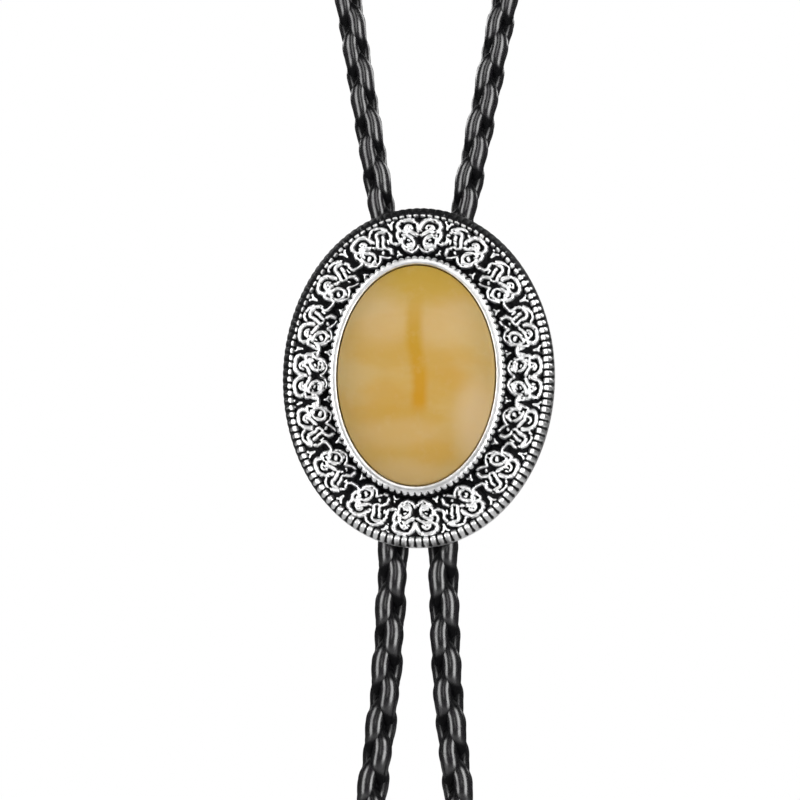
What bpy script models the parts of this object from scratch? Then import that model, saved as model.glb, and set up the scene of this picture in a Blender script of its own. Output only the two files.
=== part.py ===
"""Bolo tie: an oval cast slide with a domed stone on a loop of round braided leather cord.

Metres, +Z up.  The tie is modelled as it hangs when worn: the slide faces -Y, the two tails hang
below it, and the origin is the nape of the neck, where the back of the loop rests.
"""
import math

import bmesh
import bpy
from mathutils import Matrix, Vector

MM = 0.001
GAP = 0.3                                 # clearance between neighbouring pieces, mm

# Slide, in millimetres.  Depths are measured forwards (-Y) from the flat back of the plate.
SLIDE_WIDTH, SLIDE_HEIGHT = 40.0, 50.0
STONE_WIDTH, STONE_HEIGHT = 23.3, 32.4    # the part of the stone that shows inside the bezel
PLATE_DEPTH = 1.9                         # floor of the sunk band
RIM_DEPTH = 3.3
BEZEL_DEPTH = 5.0
BEZEL_WIDTH = 1.15
STONE_DOME = 4.2                          # height of the dome above the bezel
OVAL_SEGMENTS = 96

# Relief: clusters of roses round the sunk band, each a large and a small mound
CLUSTERS = 16
MOUND_DEPTH = 3.1
MOUND_BURY = 0.2                          # how far a mound's centre lies below the band's floor
MOUND_HALF_LENGTH = 1.45

# Cords
LOOP_DIAMETER = 4.1                       # drawn tight round the neck
TAIL_DIAMETER = 4.5                       # relaxed below the slide
CORD_SPREAD = 3.7                         # half the distance between the cords in the clip
CORD_STANDOFF = 2.6                       # cords' axes behind the plate's back
CORD_STEP = 2.5                           # distance between cord points, in diameters

# Back clip
CLIP_LENGTH = 20.0
CLIP_WALL = 1.2
CLIP_FLANGE = 10.0                        # half width over the flat side flanges
CHANNEL_RADIUS = TAIL_DIAMETER / 2 + GAP
ARC_STEPS = 10

# Tips
TIP_LENGTH = 26.0
TIP_SOCKET = 3.0
TIP_WALL = 0.7
TIP_END_RADIUS = 2.1

# The nape of the neck, seen from the slide's centre
NAPE_BACK, NAPE_RISE = 125.0, 205.0

# The cord's route on the +X side, in millimetres from the slide's centre: from the middle of the clip
# up beside the neck to the nape, and from the middle of the clip down to the end of the tail.
LOOP_ROUTE = [
    (3.7, 2.6, 0.15), (3.7, 2.6, 8), (4.35, 2.7, 15.5), (6.37, 3.0, 26.9), (8.9, 3.6, 41),
    (11.47, 4.6, 55.5), (14.6, 6.6, 72), (19.4, 10.4, 90), (26.2, 16.5, 108), (35, 25.5, 125),
    (45.2, 37.5, 141), (54.4, 52.5, 156), (59.6, 70, 169.5), (59, 88, 182), (52, 104, 192),
    (39.5, 116, 199.5), (21.5, 124.2, 203.8), (0, 127.05, 205),
]
TAIL_ROUTE = [
    (3.7, 2.6, -0.15), (3.7, 2.6, -8), (3.66, 2.6, -17), (3.68, 2.6, -25.4), (3.92, 2.6, -32.5),
    (4.36, 2.7, -42), (5.02, 2.8, -49.6), (6.34, 2.9, -60.6), (7.4, 3.0, -68.5),
]


def clear_scene():
    for thing in list(bpy.data.objects):
        bpy.data.objects.remove(thing, do_unlink=True)


def new_collection(name):
    collection = bpy.data.collections.new(name)
    bpy.context.scene.collection.children.link(collection)
    return collection


def make_material(name, colour, roughness, metallic):
    material = bpy.data.materials.new(name)
    material.use_nodes = True
    shader = material.node_tree.nodes["Principled BSDF"]
    shader.inputs["Base Color"].default_value = (*colour, 1)
    shader.inputs["Roughness"].default_value = roughness
    shader.inputs["Metallic"].default_value = metallic
    material.diffuse_color = (*colour, 1)
    return material


def add_object(name, data, collection, parent=None, material=None):
    thing = bpy.data.objects.new(name, data)
    collection.objects.link(thing)
    thing.parent = parent
    if material:
        thing.data.materials.append(material)
    return thing


def loft_ovals(name, rings, segments=OVAL_SEGMENTS):
    """A closed solid through ovals given as (half width, half height, depth forwards), in mm."""
    bm = bmesh.new()
    angles = [2 * math.pi * i / segments for i in range(segments)]
    loops = [[bm.verts.new((a * MM * math.sin(t), -depth * MM, b * MM * math.cos(t))) for t in angles]
             for a, b, depth in rings]
    for lower, upper in zip(loops, loops[1:]):
        for i in range(segments):
            bm.faces.new((lower[i - 1], lower[i], upper[i], upper[i - 1]))
    bm.faces.new(loops[0])
    bm.faces.new(loops[-1])
    bmesh.ops.recalc_face_normals(bm, faces=bm.faces)
    mesh = bpy.data.meshes.new(name)
    bm.to_mesh(mesh)
    bm.free()
    mesh.shade_smooth()
    mesh.set_sharp_from_angle(angle=math.radians(35))
    return mesh


def oval(inset, depth, width=SLIDE_WIDTH, height=SLIDE_HEIGHT):
    return (width / 2 - inset, height / 2 - inset, depth)


def stone_oval(outset, depth):
    return oval(-outset, depth, STONE_WIDTH, STONE_HEIGHT)


def plate_rings():
    """From the back edge round the outer wall, over the rim, across the band and up the bezel."""
    wall = [oval(0.4, 0), oval(0, 0.4), oval(0, 1.3)]
    rim = [oval(0.55, 2.7), oval(0.95, RIM_DEPTH), oval(1.45, RIM_DEPTH - 0.1), oval(1.8, 2.7),
           oval(1.95, PLATE_DEPTH)]
    bezel = [stone_oval(BEZEL_WIDTH + 0.15, PLATE_DEPTH), stone_oval(BEZEL_WIDTH, BEZEL_DEPTH - 0.6),
             stone_oval(0.6, BEZEL_DEPTH), stone_oval(0, BEZEL_DEPTH - 0.15)]
    seat = [stone_oval(0, PLATE_DEPTH)]
    return wall + rim + bezel + seat


def band_middle(angle):
    """Point on the middle line of the sunk band, and the band's width there, in mm."""
    outer = Vector(oval(2.0, 0)[:2])
    inner = Vector(stone_oval(BEZEL_WIDTH + 0.15, 0)[:2])
    direction = Vector((math.sin(angle), math.cos(angle)))
    return (outer + inner) / 2 * direction, ((outer - inner) * direction).length


def relief_mounds(collection):
    """Low mounds for the rose clusters: two to each cluster, turned to follow the band."""
    bm = bmesh.new()
    for i in range(2 * CLUSTERS):
        angle = 2 * math.pi * (i + 0.5) / (2 * CLUSTERS)
        middle, width = band_middle(angle)
        along = band_middle(angle + 0.05)[0] - band_middle(angle - 0.05)[0]
        turn = Matrix.Rotation(-math.atan2(along.y, along.x), 4, "Y")
        place = Matrix.Translation(Vector((middle.x, -PLATE_DEPTH + MOUND_BURY, middle.y)) * MM)
        size = Vector((MOUND_HALF_LENGTH, MOUND_DEPTH - PLATE_DEPTH + MOUND_BURY, width * 0.42)) * MM
        bmesh.ops.create_uvsphere(bm, u_segments=10, v_segments=6, radius=1,
                                  matrix=place @ turn @ Matrix.Diagonal((*size, 1)))
    mesh = bpy.data.meshes.new("relief_mounds")
    bm.to_mesh(mesh)
    bm.free()
    mounds = add_object("relief_mounds", mesh, collection)
    mounds.hide_render = True
    mounds.display_type = "WIRE"
    return mounds


def add_slide_plate(parts, cutters, slide_frame):
    """The casting: one solid of plate, rim, relief and bezel."""
    silver = make_material("antique_silver", (0.56, 0.56, 0.55), 0.3, 1.0)
    plate = add_object("slide_plate", loft_ovals("slide_plate", plate_rings()), parts, slide_frame, silver)
    mounds = relief_mounds(cutters)
    mounds.parent = slide_frame
    union = plate.modifiers.new("relief", "BOOLEAN")
    union.operation = "UNION"
    union.solver = "EXACT"
    union.object = mounds
    return plate


def add_stone(parts, slide_frame):
    """The cabochon: a flat-backed girdle inside the bezel and a low dome above it."""
    honey = make_material("honey_stone", (0.56, 0.35, 0.1), 0.12, 0.0)
    girdle_depth = BEZEL_DEPTH - 0.5
    rings = [stone_oval(-GAP - 0.3, PLATE_DEPTH + GAP), stone_oval(-GAP, PLATE_DEPTH + GAP + 0.3)]
    dome_steps = 9
    for i in range(dome_steps):
        climb = math.pi / 2 * i / dome_steps
        reach = math.cos(climb) ** 0.9
        half_width, half_height, _ = stone_oval(-GAP, 0)
        dome = (BEZEL_DEPTH + STONE_DOME - girdle_depth) * math.sin(climb)
        rings.append((half_width * reach, half_height * reach, girdle_depth + dome))
    mesh = loft_ovals("stone_cabochon", rings, segments=56)
    return add_object("stone_cabochon", mesh, parts, slide_frame, honey)


def arc(centre_x, centre_y, radius, start, end):
    """Points on an arc in the clip's outline, angles in degrees."""
    turns = [math.radians(start + (end - start) * i / ARC_STEPS) for i in range(ARC_STEPS + 1)]
    return [(centre_x + radius * math.cos(t), centre_y + radius * math.sin(t)) for t in turns]


def clip_outline():
    """Half of the clip's section at +X: flange, arch over the cord, and the web in the middle."""
    outer = CHANNEL_RADIUS + CLIP_WALL
    valley = math.degrees(math.acos(-CORD_SPREAD / outer))
    inside = [(CORD_SPREAD - CHANNEL_RADIUS, GAP)]
    inside += arc(CORD_SPREAD, CORD_STANDOFF, CHANNEL_RADIUS, 180, 0)
    inside += [(CORD_SPREAD + CHANNEL_RADIUS, GAP)]
    flange = [(CLIP_FLANGE, GAP), (CLIP_FLANGE, GAP + CLIP_WALL), (CORD_SPREAD + outer, GAP + CLIP_WALL)]
    return inside + flange + arc(CORD_SPREAD, CORD_STANDOFF, outer, 0, valley)


def add_back_clip(parts, slide_frame):
    """The clip: a bent strip with an arch over each cord, lying against the back of the plate."""
    steel = make_material("clip_metal", (0.6, 0.6, 0.58), 0.35, 1.0)
    half = clip_outline()
    outline = half + [(-x, y) for x, y in reversed(half[:-1])]
    curve = bpy.data.curves.new("back_clip", "CURVE")
    curve.dimensions = "2D"
    curve.fill_mode = "BOTH"
    curve.extrude = CLIP_LENGTH / 2 * MM
    spline = curve.splines.new("POLY")
    spline.points.add(len(outline) - 1)
    for point, (x, y) in zip(spline.points, outline):
        point.co = (x * MM, y * MM, 0, 1)
    spline.use_cyclic_u = True
    return add_object("back_clip", curve, parts, slide_frame, steel)


def smooth_points(route, spacing):
    """Evenly spaced points on a Catmull-Rom curve through the route's points."""
    knots = [Vector(p) for p in route]
    knots = [2 * knots[0] - knots[1]] + knots + [2 * knots[-1] - knots[-2]]
    fine = []
    for before, start, end, after in zip(knots, knots[1:], knots[2:], knots[3:]):
        for i in range(24):
            t = i / 24
            fine.append(0.5 * (2 * start + (end - before) * t
                               + (2 * before - 5 * start + 4 * end - after) * t ** 2
                               + (3 * start - before - 3 * end + after) * t ** 3))
    fine.append(knots[-2])
    run = [0.0]
    for a, b in zip(fine, fine[1:]):
        run.append(run[-1] + (b - a).length)
    steps = max(2, round(run[-1] / spacing))
    points, k = [], 0
    for i in range(steps + 1):
        goal = run[-1] * i / steps
        while k < len(run) - 2 and run[k + 1] < goal:
            k += 1
        points.append(fine[k].lerp(fine[k + 1], (goal - run[k]) / (run[k + 1] - run[k])))
    return points


def add_cord(name, points, diameter, parts, slide_frame, leather):
    curve = bpy.data.curves.new(name, "CURVE")
    curve.dimensions = "3D"
    curve.bevel_depth = diameter / 2 * MM
    curve.bevel_resolution = 2
    curve.use_fill_caps = True
    spline = curve.splines.new("POLY")
    spline.points.add(len(points) - 1)
    for point, place in zip(spline.points, points):
        point.co = (*(place * MM), 1)
    spline.use_smooth = True
    return add_object(name, curve, parts, slide_frame, leather)


def add_neck_cord(parts, slide_frame, leather):
    """The worn loop: up one side of the neck, round the nape and down the other side."""
    across = [(-x, y, z) for x, y, z in LOOP_ROUTE]
    route = across + list(reversed(LOOP_ROUTE[:-1]))
    points = smooth_points(route, CORD_STEP * LOOP_DIAMETER)
    return add_cord("neck_cord", points, LOOP_DIAMETER, parts, slide_frame, leather)


def add_tail(side, mirror, parts, slide_frame, leather):
    """One hanging end of the cord and the metal tip on it."""
    route = [(mirror * x, y, z) for x, y, z in TAIL_ROUTE]
    points = smooth_points(route, 2.0 * TAIL_DIAMETER)
    add_cord(f"tail_{side}", points, TAIL_DIAMETER, parts, slide_frame, leather)
    add_tip(f"tip_{side}", points[-1], points[-1] - points[-2], parts, slide_frame)


def tip_profile():
    """Radius and height from the socket's floor, over its mouth and down the outside, in mm."""
    bore = TAIL_DIAMETER / 2 + GAP
    top = bore + TIP_WALL
    neck = top - 0.55
    shoulder = [(0, 0), (bore, 0), (bore, TIP_SOCKET), (top - 0.2, TIP_SOCKET), (top, TIP_SOCKET - 0.2),
                (top, TIP_SOCKET - 2.0), (neck, TIP_SOCKET - 2.6)]
    straight_end = TIP_SOCKET - TIP_LENGTH + TIP_END_RADIUS
    rounded = [(TIP_END_RADIUS * math.cos(a), straight_end - TIP_END_RADIUS * math.sin(a))
               for a in [math.pi / 2 * i / 5 for i in range(5)]]
    return shoulder + rounded + [(0, TIP_SOCKET - TIP_LENGTH)]


def add_tip(name, end, direction, parts, slide_frame):
    """A turned metal tip whose socket takes the cord's end, in line with the cord."""
    metal = bpy.data.materials.get("tip_metal") or make_material("tip_metal", (0.62, 0.62, 0.6), 0.25, 1.0)
    profile = tip_profile()
    mesh = bpy.data.meshes.new(name)
    mesh.from_pydata([(r * MM, 0, z * MM) for r, z in profile],
                     [(i, i + 1) for i in range(len(profile) - 1)], [])
    tip = add_object(name, mesh, parts, slide_frame, metal)
    screw = tip.modifiers.new("turn", "SCREW")
    screw.steps = screw.render_steps = 24
    screw.use_merge_vertices = True
    screw.merge_threshold = 0.00001
    screw.use_smooth_shade = True
    tip.rotation_mode = "QUATERNION"
    tip.rotation_quaternion = (-direction).to_track_quat("Z", "Y")
    tip.location = (end + direction.normalized() * GAP) * MM
    return tip


def build():
    clear_scene()
    parts = new_collection("bolo_tie")
    cutters = new_collection("cutters")
    slide_frame = add_object("slide_frame", None, parts)
    slide_frame.location = Vector((0, -NAPE_BACK, -NAPE_RISE)) * MM
    leather = make_material("braided_leather", (0.02, 0.019, 0.02), 0.35, 0.0)
    add_slide_plate(parts, cutters, slide_frame)
    add_stone(parts, slide_frame)
    add_back_clip(parts, slide_frame)
    add_neck_cord(parts, slide_frame, leather)
    for side, mirror in (("left", -1), ("right", 1)):
        add_tail(side, mirror, parts, slide_frame, leather)


build()
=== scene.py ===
"""Looks of the bolo tie: cast rose border, toothed bezel, honey stone, four-strand braided cord and tips."""
import math

import bmesh
import bpy
import numpy as np
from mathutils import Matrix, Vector


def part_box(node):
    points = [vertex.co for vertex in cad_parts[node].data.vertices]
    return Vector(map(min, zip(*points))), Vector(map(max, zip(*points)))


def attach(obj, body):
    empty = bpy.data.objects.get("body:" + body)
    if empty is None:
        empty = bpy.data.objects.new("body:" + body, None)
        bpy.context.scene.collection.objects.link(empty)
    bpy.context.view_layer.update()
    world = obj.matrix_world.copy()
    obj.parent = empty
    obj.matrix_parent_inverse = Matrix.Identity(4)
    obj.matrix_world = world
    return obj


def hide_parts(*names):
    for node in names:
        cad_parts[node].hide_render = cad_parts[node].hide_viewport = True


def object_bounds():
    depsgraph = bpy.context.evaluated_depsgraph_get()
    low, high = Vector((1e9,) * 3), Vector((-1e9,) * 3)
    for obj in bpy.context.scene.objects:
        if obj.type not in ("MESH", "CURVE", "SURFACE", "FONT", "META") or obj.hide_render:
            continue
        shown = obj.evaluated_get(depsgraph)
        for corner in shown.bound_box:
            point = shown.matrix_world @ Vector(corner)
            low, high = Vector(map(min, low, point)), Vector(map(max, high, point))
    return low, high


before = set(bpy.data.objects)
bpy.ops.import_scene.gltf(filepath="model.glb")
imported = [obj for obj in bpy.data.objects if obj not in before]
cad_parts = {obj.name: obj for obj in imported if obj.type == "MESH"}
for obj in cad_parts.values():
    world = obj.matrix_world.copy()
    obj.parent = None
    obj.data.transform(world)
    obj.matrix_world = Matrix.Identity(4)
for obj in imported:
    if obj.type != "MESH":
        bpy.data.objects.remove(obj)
cad_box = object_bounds()

MM = 0.001
BODY = "root"

# ---------------------------------------------------------------- slide sizes, in millimetres
plate_low, plate_high = (np.array(corner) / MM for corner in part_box("slide_plate"))
HALF_WIDTH, _, HALF_HEIGHT = (plate_high - plate_low) / 2
CENTRE_Z = (plate_high[2] + plate_low[2]) / 2
BACK_Y = plate_high[1]                       # the plate's flat back; depths run forwards from it
STONE_HALF_WIDTH, STONE_HALF_HEIGHT = 11.65, 16.2
STONE_TOP = BACK_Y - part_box("stone_cabochon")[0][1] / MM

FLOOR = 1.9                                  # depth of the sunk band's floor
RIM_CREST = 3.2
REEDS = 128
BEZEL_TOP = 5.0
BEZEL_TEETH = 96
BAND_LINE = 4.35                             # the roses' middle line, inwards from the outline
BAND_COLUMNS, BAND_ROWS = 1280, 66
BAND_OUTER, BAND_INNER = 1.55, 7.75          # the band's edges, inwards from the outline

# ---------------------------------------------------------------- cord sizes, in millimetres
LOOP_DIAMETER, TAIL_DIAMETER = 4.1, 4.5
LEAF = 1.915                                 # length of one braid leaf along the cord, in diameters
CORD_SPREAD, CORD_STANDOFF = 3.7, 2.6        # in the clip: off the slide's middle, and behind its back
LOOP_ROUTE = [                               # right side, from the clip up to the nape
    (CORD_SPREAD, CORD_STANDOFF, 0.15), (CORD_SPREAD, CORD_STANDOFF, 8),
    (4.35, 2.7, 15.5), (6.37, 3.0, 26.9), (8.9, 3.6, 41),
    (11.47, 4.6, 55.5), (14.6, 6.6, 72), (19.4, 10.4, 90), (26.2, 16.5, 108), (35, 25.5, 125),
    (45.2, 37.5, 141), (54.4, 52.5, 156), (59.6, 70, 169.5), (59, 88, 182), (52, 104, 192),
    (39.5, 116, 199.5), (21.5, 124.2, 203.8), (0, 127.05, 205),
]
TAIL_ROUTE = [                               # right tail, from the clip down to the tip
    (CORD_SPREAD, CORD_STANDOFF, -0.15), (CORD_SPREAD, CORD_STANDOFF, -8),
    (3.66, 2.6, -17), (3.68, 2.6, -25.4), (3.92, 2.6, -32.5),
    (4.36, 2.7, -42), (5.02, 2.8, -49.6), (6.34, 2.9, -60.6), (7.4, 3.0, -68.5),
]
CLIP_HALF = 10.0                             # half the clip's length along the cords
LOOP_LENGTH = 610.0
LOOP_STEP, TAIL_STEP = 0.5, 0.3              # between the sections of a braid
LOOP_START, TAIL_START = 2.35, 1.87          # where the plait stands in the clip, in radians of its turn
LOOP_FACE = math.radians(13)                 # how far the loop's leaves are turned about the cord


def slide_point(x, back, z):
    """Millimetres from the slide's centre, with back measured behind the plate, to the row frame."""
    return np.stack(np.broadcast_arrays(x, BACK_Y + back, CENTRE_Z + z), axis=-1) * MM


# ---------------------------------------------------------------- small helpers
def keep(piece, slot, *nodes):
    """Ride a finished piece on the body and hide the nodes it stands for; slot is not used."""
    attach(piece, BODY)
    if nodes:
        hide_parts(*nodes)
    return piece


def shaded_piece(name, mesh, material, smooth_angle):
    """Put a mesh into the scene, shaded smooth except where its faces meet at more than the angle."""
    mesh.shade_smooth()
    if smooth_angle:
        mesh.set_sharp_from_angle(angle=math.radians(smooth_angle))
    mesh.materials.append(material)
    piece = bpy.data.objects.new(name, mesh)
    bpy.context.scene.collection.objects.link(piece)
    return piece


def mesh_piece(name, points, faces, material, smooth_angle=None):
    """A piece from points in metres and the faces between them."""
    mesh = bpy.data.meshes.new(name)
    mesh.from_pydata(points.reshape(-1, 3).tolist(), [], faces)
    mesh.validate()
    return shaded_piece(name, mesh, material, smooth_angle)


def grid_faces(rows, columns, close_rows=False, start=0):
    """Quads of a grid whose columns close up into a ring."""
    faces = []
    for i in range(rows if close_rows else rows - 1):
        row, next_row = start + i * columns, start + (i + 1) % rows * columns
        faces += [(row + j, row + (j + 1) % columns, next_row + (j + 1) % columns, next_row + j)
                  for j in range(columns)]
    return faces


def face_outwards(piece):
    """Turn every face of a closed piece outwards."""
    bm = bmesh.new()
    bm.from_mesh(piece.data)
    bmesh.ops.recalc_face_normals(bm, faces=bm.faces)
    bm.to_mesh(piece.data)
    bm.free()
    return piece


def paint(piece, name, values):
    """Store one number per point for the materials to read."""
    layer = piece.data.attributes.new(name, "FLOAT", "POINT")
    layer.data.foreach_set("value", np.ascontiguousarray(values, dtype=np.float32).ravel())
    return piece


def smooth_step(x):
    """Ease from 0 to 1 as x goes from 0 to 1, and stay there on both sides."""
    x = np.clip(x, 0, 1)
    return x * x * (3 - 2 * x)


def run_along(points):
    """Distance of each point from the first, measured along the line."""
    return np.concatenate([[0], np.cumsum(np.linalg.norm(np.diff(points, axis=0), axis=1))])


def smooth_line(route, spacing):
    """Evenly spaced points on a Catmull-Rom curve through the route."""
    knots = np.array(route, float)
    knots = np.vstack([2 * knots[0] - knots[1], knots, 2 * knots[-1] - knots[-2]])
    steps_per_span = 24
    t = np.linspace(0, 1, steps_per_span, endpoint=False)[:, None]
    fine = []
    for before, start, end, after in zip(knots, knots[1:], knots[2:], knots[3:]):
        fine.append(0.5 * (2 * start + (end - before) * t
                           + (2 * before - 5 * start + 4 * end - after) * t ** 2
                           + (3 * start - before - 3 * end + after) * t ** 3))
    fine = np.vstack(fine + [knots[-2:-1]])
    run = run_along(fine)
    goals = np.linspace(0, run[-1], max(3, round(run[-1] / spacing) + 1))
    return np.stack([np.interp(goals, run, fine[:, k]) for k in range(fine.shape[1])], axis=1)


def waves(x, y, seed):
    """Gentle unevenness between -1 and 1, from a few crossed sine waves."""
    rng = np.random.default_rng(seed)
    scales = (0.6, 0.9, 1.4, 2.3)
    total = 0
    for scale in scales:
        angle, phase = rng.uniform(0, 2 * math.pi, 2)
        total = total + np.sin(scale * (x * math.cos(angle) + y * math.sin(angle)) + phase)
    return total / len(scales)


# ---------------------------------------------------------------- shader helpers
def new_material(name):
    """A material, its node tree and its shader."""
    material = bpy.data.materials.new(name)
    material.use_nodes = True
    return material, material.node_tree, material.node_tree.nodes["Principled BSDF"]


def node(tree, kind, **values):
    """A new node, with each value set on the input of that name or else on the node's own setting."""
    made = tree.nodes.new(kind)
    for key, value in values.items():
        if key in made.inputs:
            made.inputs[key].default_value = value
        else:
            setattr(made, key, value)
    return made


def mix_colour(tree, factor, first, second):
    """Mix two colours, or two sockets, by a factor."""
    mixer = node(tree, "ShaderNodeMix", data_type="RGBA")
    for socket, value in ((mixer.inputs[0], factor), (mixer.inputs[6], first), (mixer.inputs[7], second)):
        if isinstance(value, bpy.types.NodeSocket):
            tree.links.new(value, socket)
        elif isinstance(value, tuple):
            socket.default_value = (*value, 1)
        else:
            socket.default_value = value
    return mixer.outputs[2]


def math_node(tree, operation, *values):
    """One sum on values or sockets."""
    made = node(tree, "ShaderNodeMath", operation=operation)
    for socket, value in zip(made.inputs, values):
        if isinstance(value, bpy.types.NodeSocket):
            tree.links.new(value, socket)
        else:
            socket.default_value = value
    return made.outputs[0]


def ramp(tree, factor, low, high, out_low=0.0, out_high=1.0):
    """Ease from out_low to out_high as the factor goes from low to high."""
    made = node(tree, "ShaderNodeMapRange", interpolation_type="SMOOTHSTEP")
    tree.links.new(factor, made.inputs["Value"])
    for key, value in (("From Min", low), ("From Max", high), ("To Min", out_low), ("To Max", out_high)):
        made.inputs[key].default_value = value
    return made.outputs["Result"]


def position(tree):
    """Place in the row frame, in metres."""
    return tree.nodes.new("ShaderNodeTexCoord").outputs["Object"]


def noise(tree, place, scale, detail=3.0, rough=0.55, stretch=None):
    """Cloudy noise, with scale in cycles a metre and stretch as a further scale along each axis."""
    if stretch:
        mapping = node(tree, "ShaderNodeMapping")
        mapping.inputs["Scale"].default_value = stretch
        tree.links.new(place, mapping.inputs["Vector"])
        place = mapping.outputs[0]
    made = node(tree, "ShaderNodeTexNoise", Scale=scale, Detail=detail, Roughness=rough)
    tree.links.new(place, made.inputs["Vector"])
    return made.outputs["Fac"]


def make_group(name, inputs, outputs):
    """A shader node group with named sockets, its input node and its output node."""
    group = bpy.data.node_groups.new(name, "ShaderNodeTree")
    for title, kind, value in inputs:
        group.interface.new_socket(title, in_out="INPUT", socket_type=kind).default_value = value
    for title, kind in outputs:
        group.interface.new_socket(title, in_out="OUTPUT", socket_type=kind)
    return group, group.nodes.new("NodeGroupInput"), group.nodes.new("NodeGroupOutput")


def use_group(tree, group, **values):
    """Place a group in a material, with this material's values on its inputs."""
    made = tree.nodes.new("ShaderNodeGroup")
    made.node_tree = group
    for key, value in values.items():
        made.inputs[key].default_value = value
    return made


def worn_metal_group():
    """Handled metal: faint scuffs that dull the polish, uneven tone, and a fine surface for the bump."""
    group, given, out = make_group(
        "worn_metal",
        [("Bright", "NodeSocketColor", (0.8, 0.8, 0.79, 1)),
         ("Dull", "NodeSocketColor", (0.45, 0.45, 0.45, 1)),
         ("Polish", "NodeSocketFloat", 0.18), ("Scuffs", "NodeSocketFloat", 0.15)],
        [("Colour", "NodeSocketColor"), ("Roughness", "NodeSocketFloat"), ("Height", "NodeSocketFloat")])
    place = position(group)
    tone = noise(group, place, scale=420, detail=4)
    scuffs = noise(group, place, scale=2600, detail=5, rough=0.65)
    colour = mix_colour(group, ramp(group, tone, 0.42, 0.72), given.outputs["Bright"], given.outputs["Dull"])
    rough = math_node(group, "MULTIPLY", ramp(group, scuffs, 0.45, 0.75), given.outputs["Scuffs"])
    rough = math_node(group, "ADD", rough, given.outputs["Polish"])
    group.links.new(colour, out.inputs["Colour"])
    group.links.new(rough, out.inputs["Roughness"])
    group.links.new(scuffs, out.inputs["Height"])
    return group


def bump(tree, height, strength, distance):
    """The normal of a surface with this height, whose full range is distance metres."""
    made = node(tree, "ShaderNodeBump", Strength=strength, Distance=distance)
    tree.links.new(height, made.inputs["Height"])
    return made.outputs["Normal"]


def attribute(tree, name):
    """The number that paint stored under this name."""
    return node(tree, "ShaderNodeAttribute", attribute_name=name).outputs["Fac"]


def antique_silver(metal_group):
    """Cast white metal, blackened all over and then polished back on everything that stands out; on the rim
    the same mask also holds painted shade and painted highlight.
    """
    material, tree, shader = new_material("antique_silver")
    metal = use_group(tree, metal_group, Bright=(0.93, 0.93, 0.93, 1), Dull=(0.78, 0.78, 0.78, 1),
                      Polish=0.33, Scuffs=0.16)
    place = position(tree)
    patches = math_node(tree, "SUBTRACT", noise(tree, place, scale=900, detail=4), 0.5)
    patches = math_node(tree, "MULTIPLY", patches, 0.3)
    proud_and_painted_light = ramp(tree, math_node(tree, "ADD", attribute(tree, "raised"), patches), 0.28, 0.5)
    black = mix_colour(tree, noise(tree, place, scale=1500), (0.003, 0.003, 0.003), (0.03, 0.03, 0.032))
    tree.links.new(mix_colour(tree, proud_and_painted_light, black, metal.outputs["Colour"]), shader.inputs["Base Color"])
    rough = math_node(tree, "ADD", metal.outputs["Roughness"], ramp(tree, proud_and_painted_light, 0, 1, 0.3, 0.0))
    tree.links.new(rough, shader.inputs["Roughness"])
    shader.inputs["Metallic"].default_value = 1.0
    normal = bump(tree, metal.outputs["Height"], strength=0.25, distance=0.00002)
    tree.links.new(normal, shader.inputs["Normal"])
    return material


def plain_metal(name, metal_group, bright, dull, polish, scuffs, brushed=0.0):
    """Clip or tip metal, with the share of the surface's relief that is brushed lines along the cord."""
    material, tree, shader = new_material(name)
    metal = use_group(tree, metal_group, Bright=(*bright, 1), Dull=(*dull, 1), Polish=polish, Scuffs=scuffs)
    tree.links.new(metal.outputs["Colour"], shader.inputs["Base Color"])
    tree.links.new(metal.outputs["Roughness"], shader.inputs["Roughness"])
    shader.inputs["Metallic"].default_value = 1.0
    height = metal.outputs["Height"]
    if brushed:
        lines = noise(tree, position(tree), scale=500, rough=0.6, stretch=(14, 14, 0.6))
        height = mix_colour(tree, brushed, height, lines)
    tree.links.new(bump(tree, height, strength=0.3, distance=0.00003), shader.inputs["Normal"])
    return material


# Patches in the stone: middle x and z and half size in x and z, as shares of the stone's half width and
# half height, then strength. The two high pale patches are a painted reflection, the pale one low on the
# right is painted light, and the two lowest make the stone paler low in the middle; the olive top is painted
# shade.
PALE_CLOUDS_AND_PAINTED_LIGHT = [(-0.4, 0.48, 0.4, 0.24, 0.4), (0.34, 0.46, 0.4, 0.28, 0.4), (0.78, -0.42, 0.3, 0.4, 0.75),
               (-0.15, -0.54, 0.6, 0.14, 0.3), (-0.1, -0.9, 0.5, 0.14, 0.3)]
WARM_CLOUDS = [(-0.35, -0.2, 0.42, 0.22, 0.5), (0.38, 0.0, 0.36, 0.2, 0.4), (0.25, -0.7, 0.3, 0.12, 0.3)]
# Painted shade: the top of the stone darker and more olive.
OLIVE_SHADED_TOP = [(0.0, 1.0, 0.75, 0.42, 0.85)]


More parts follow.
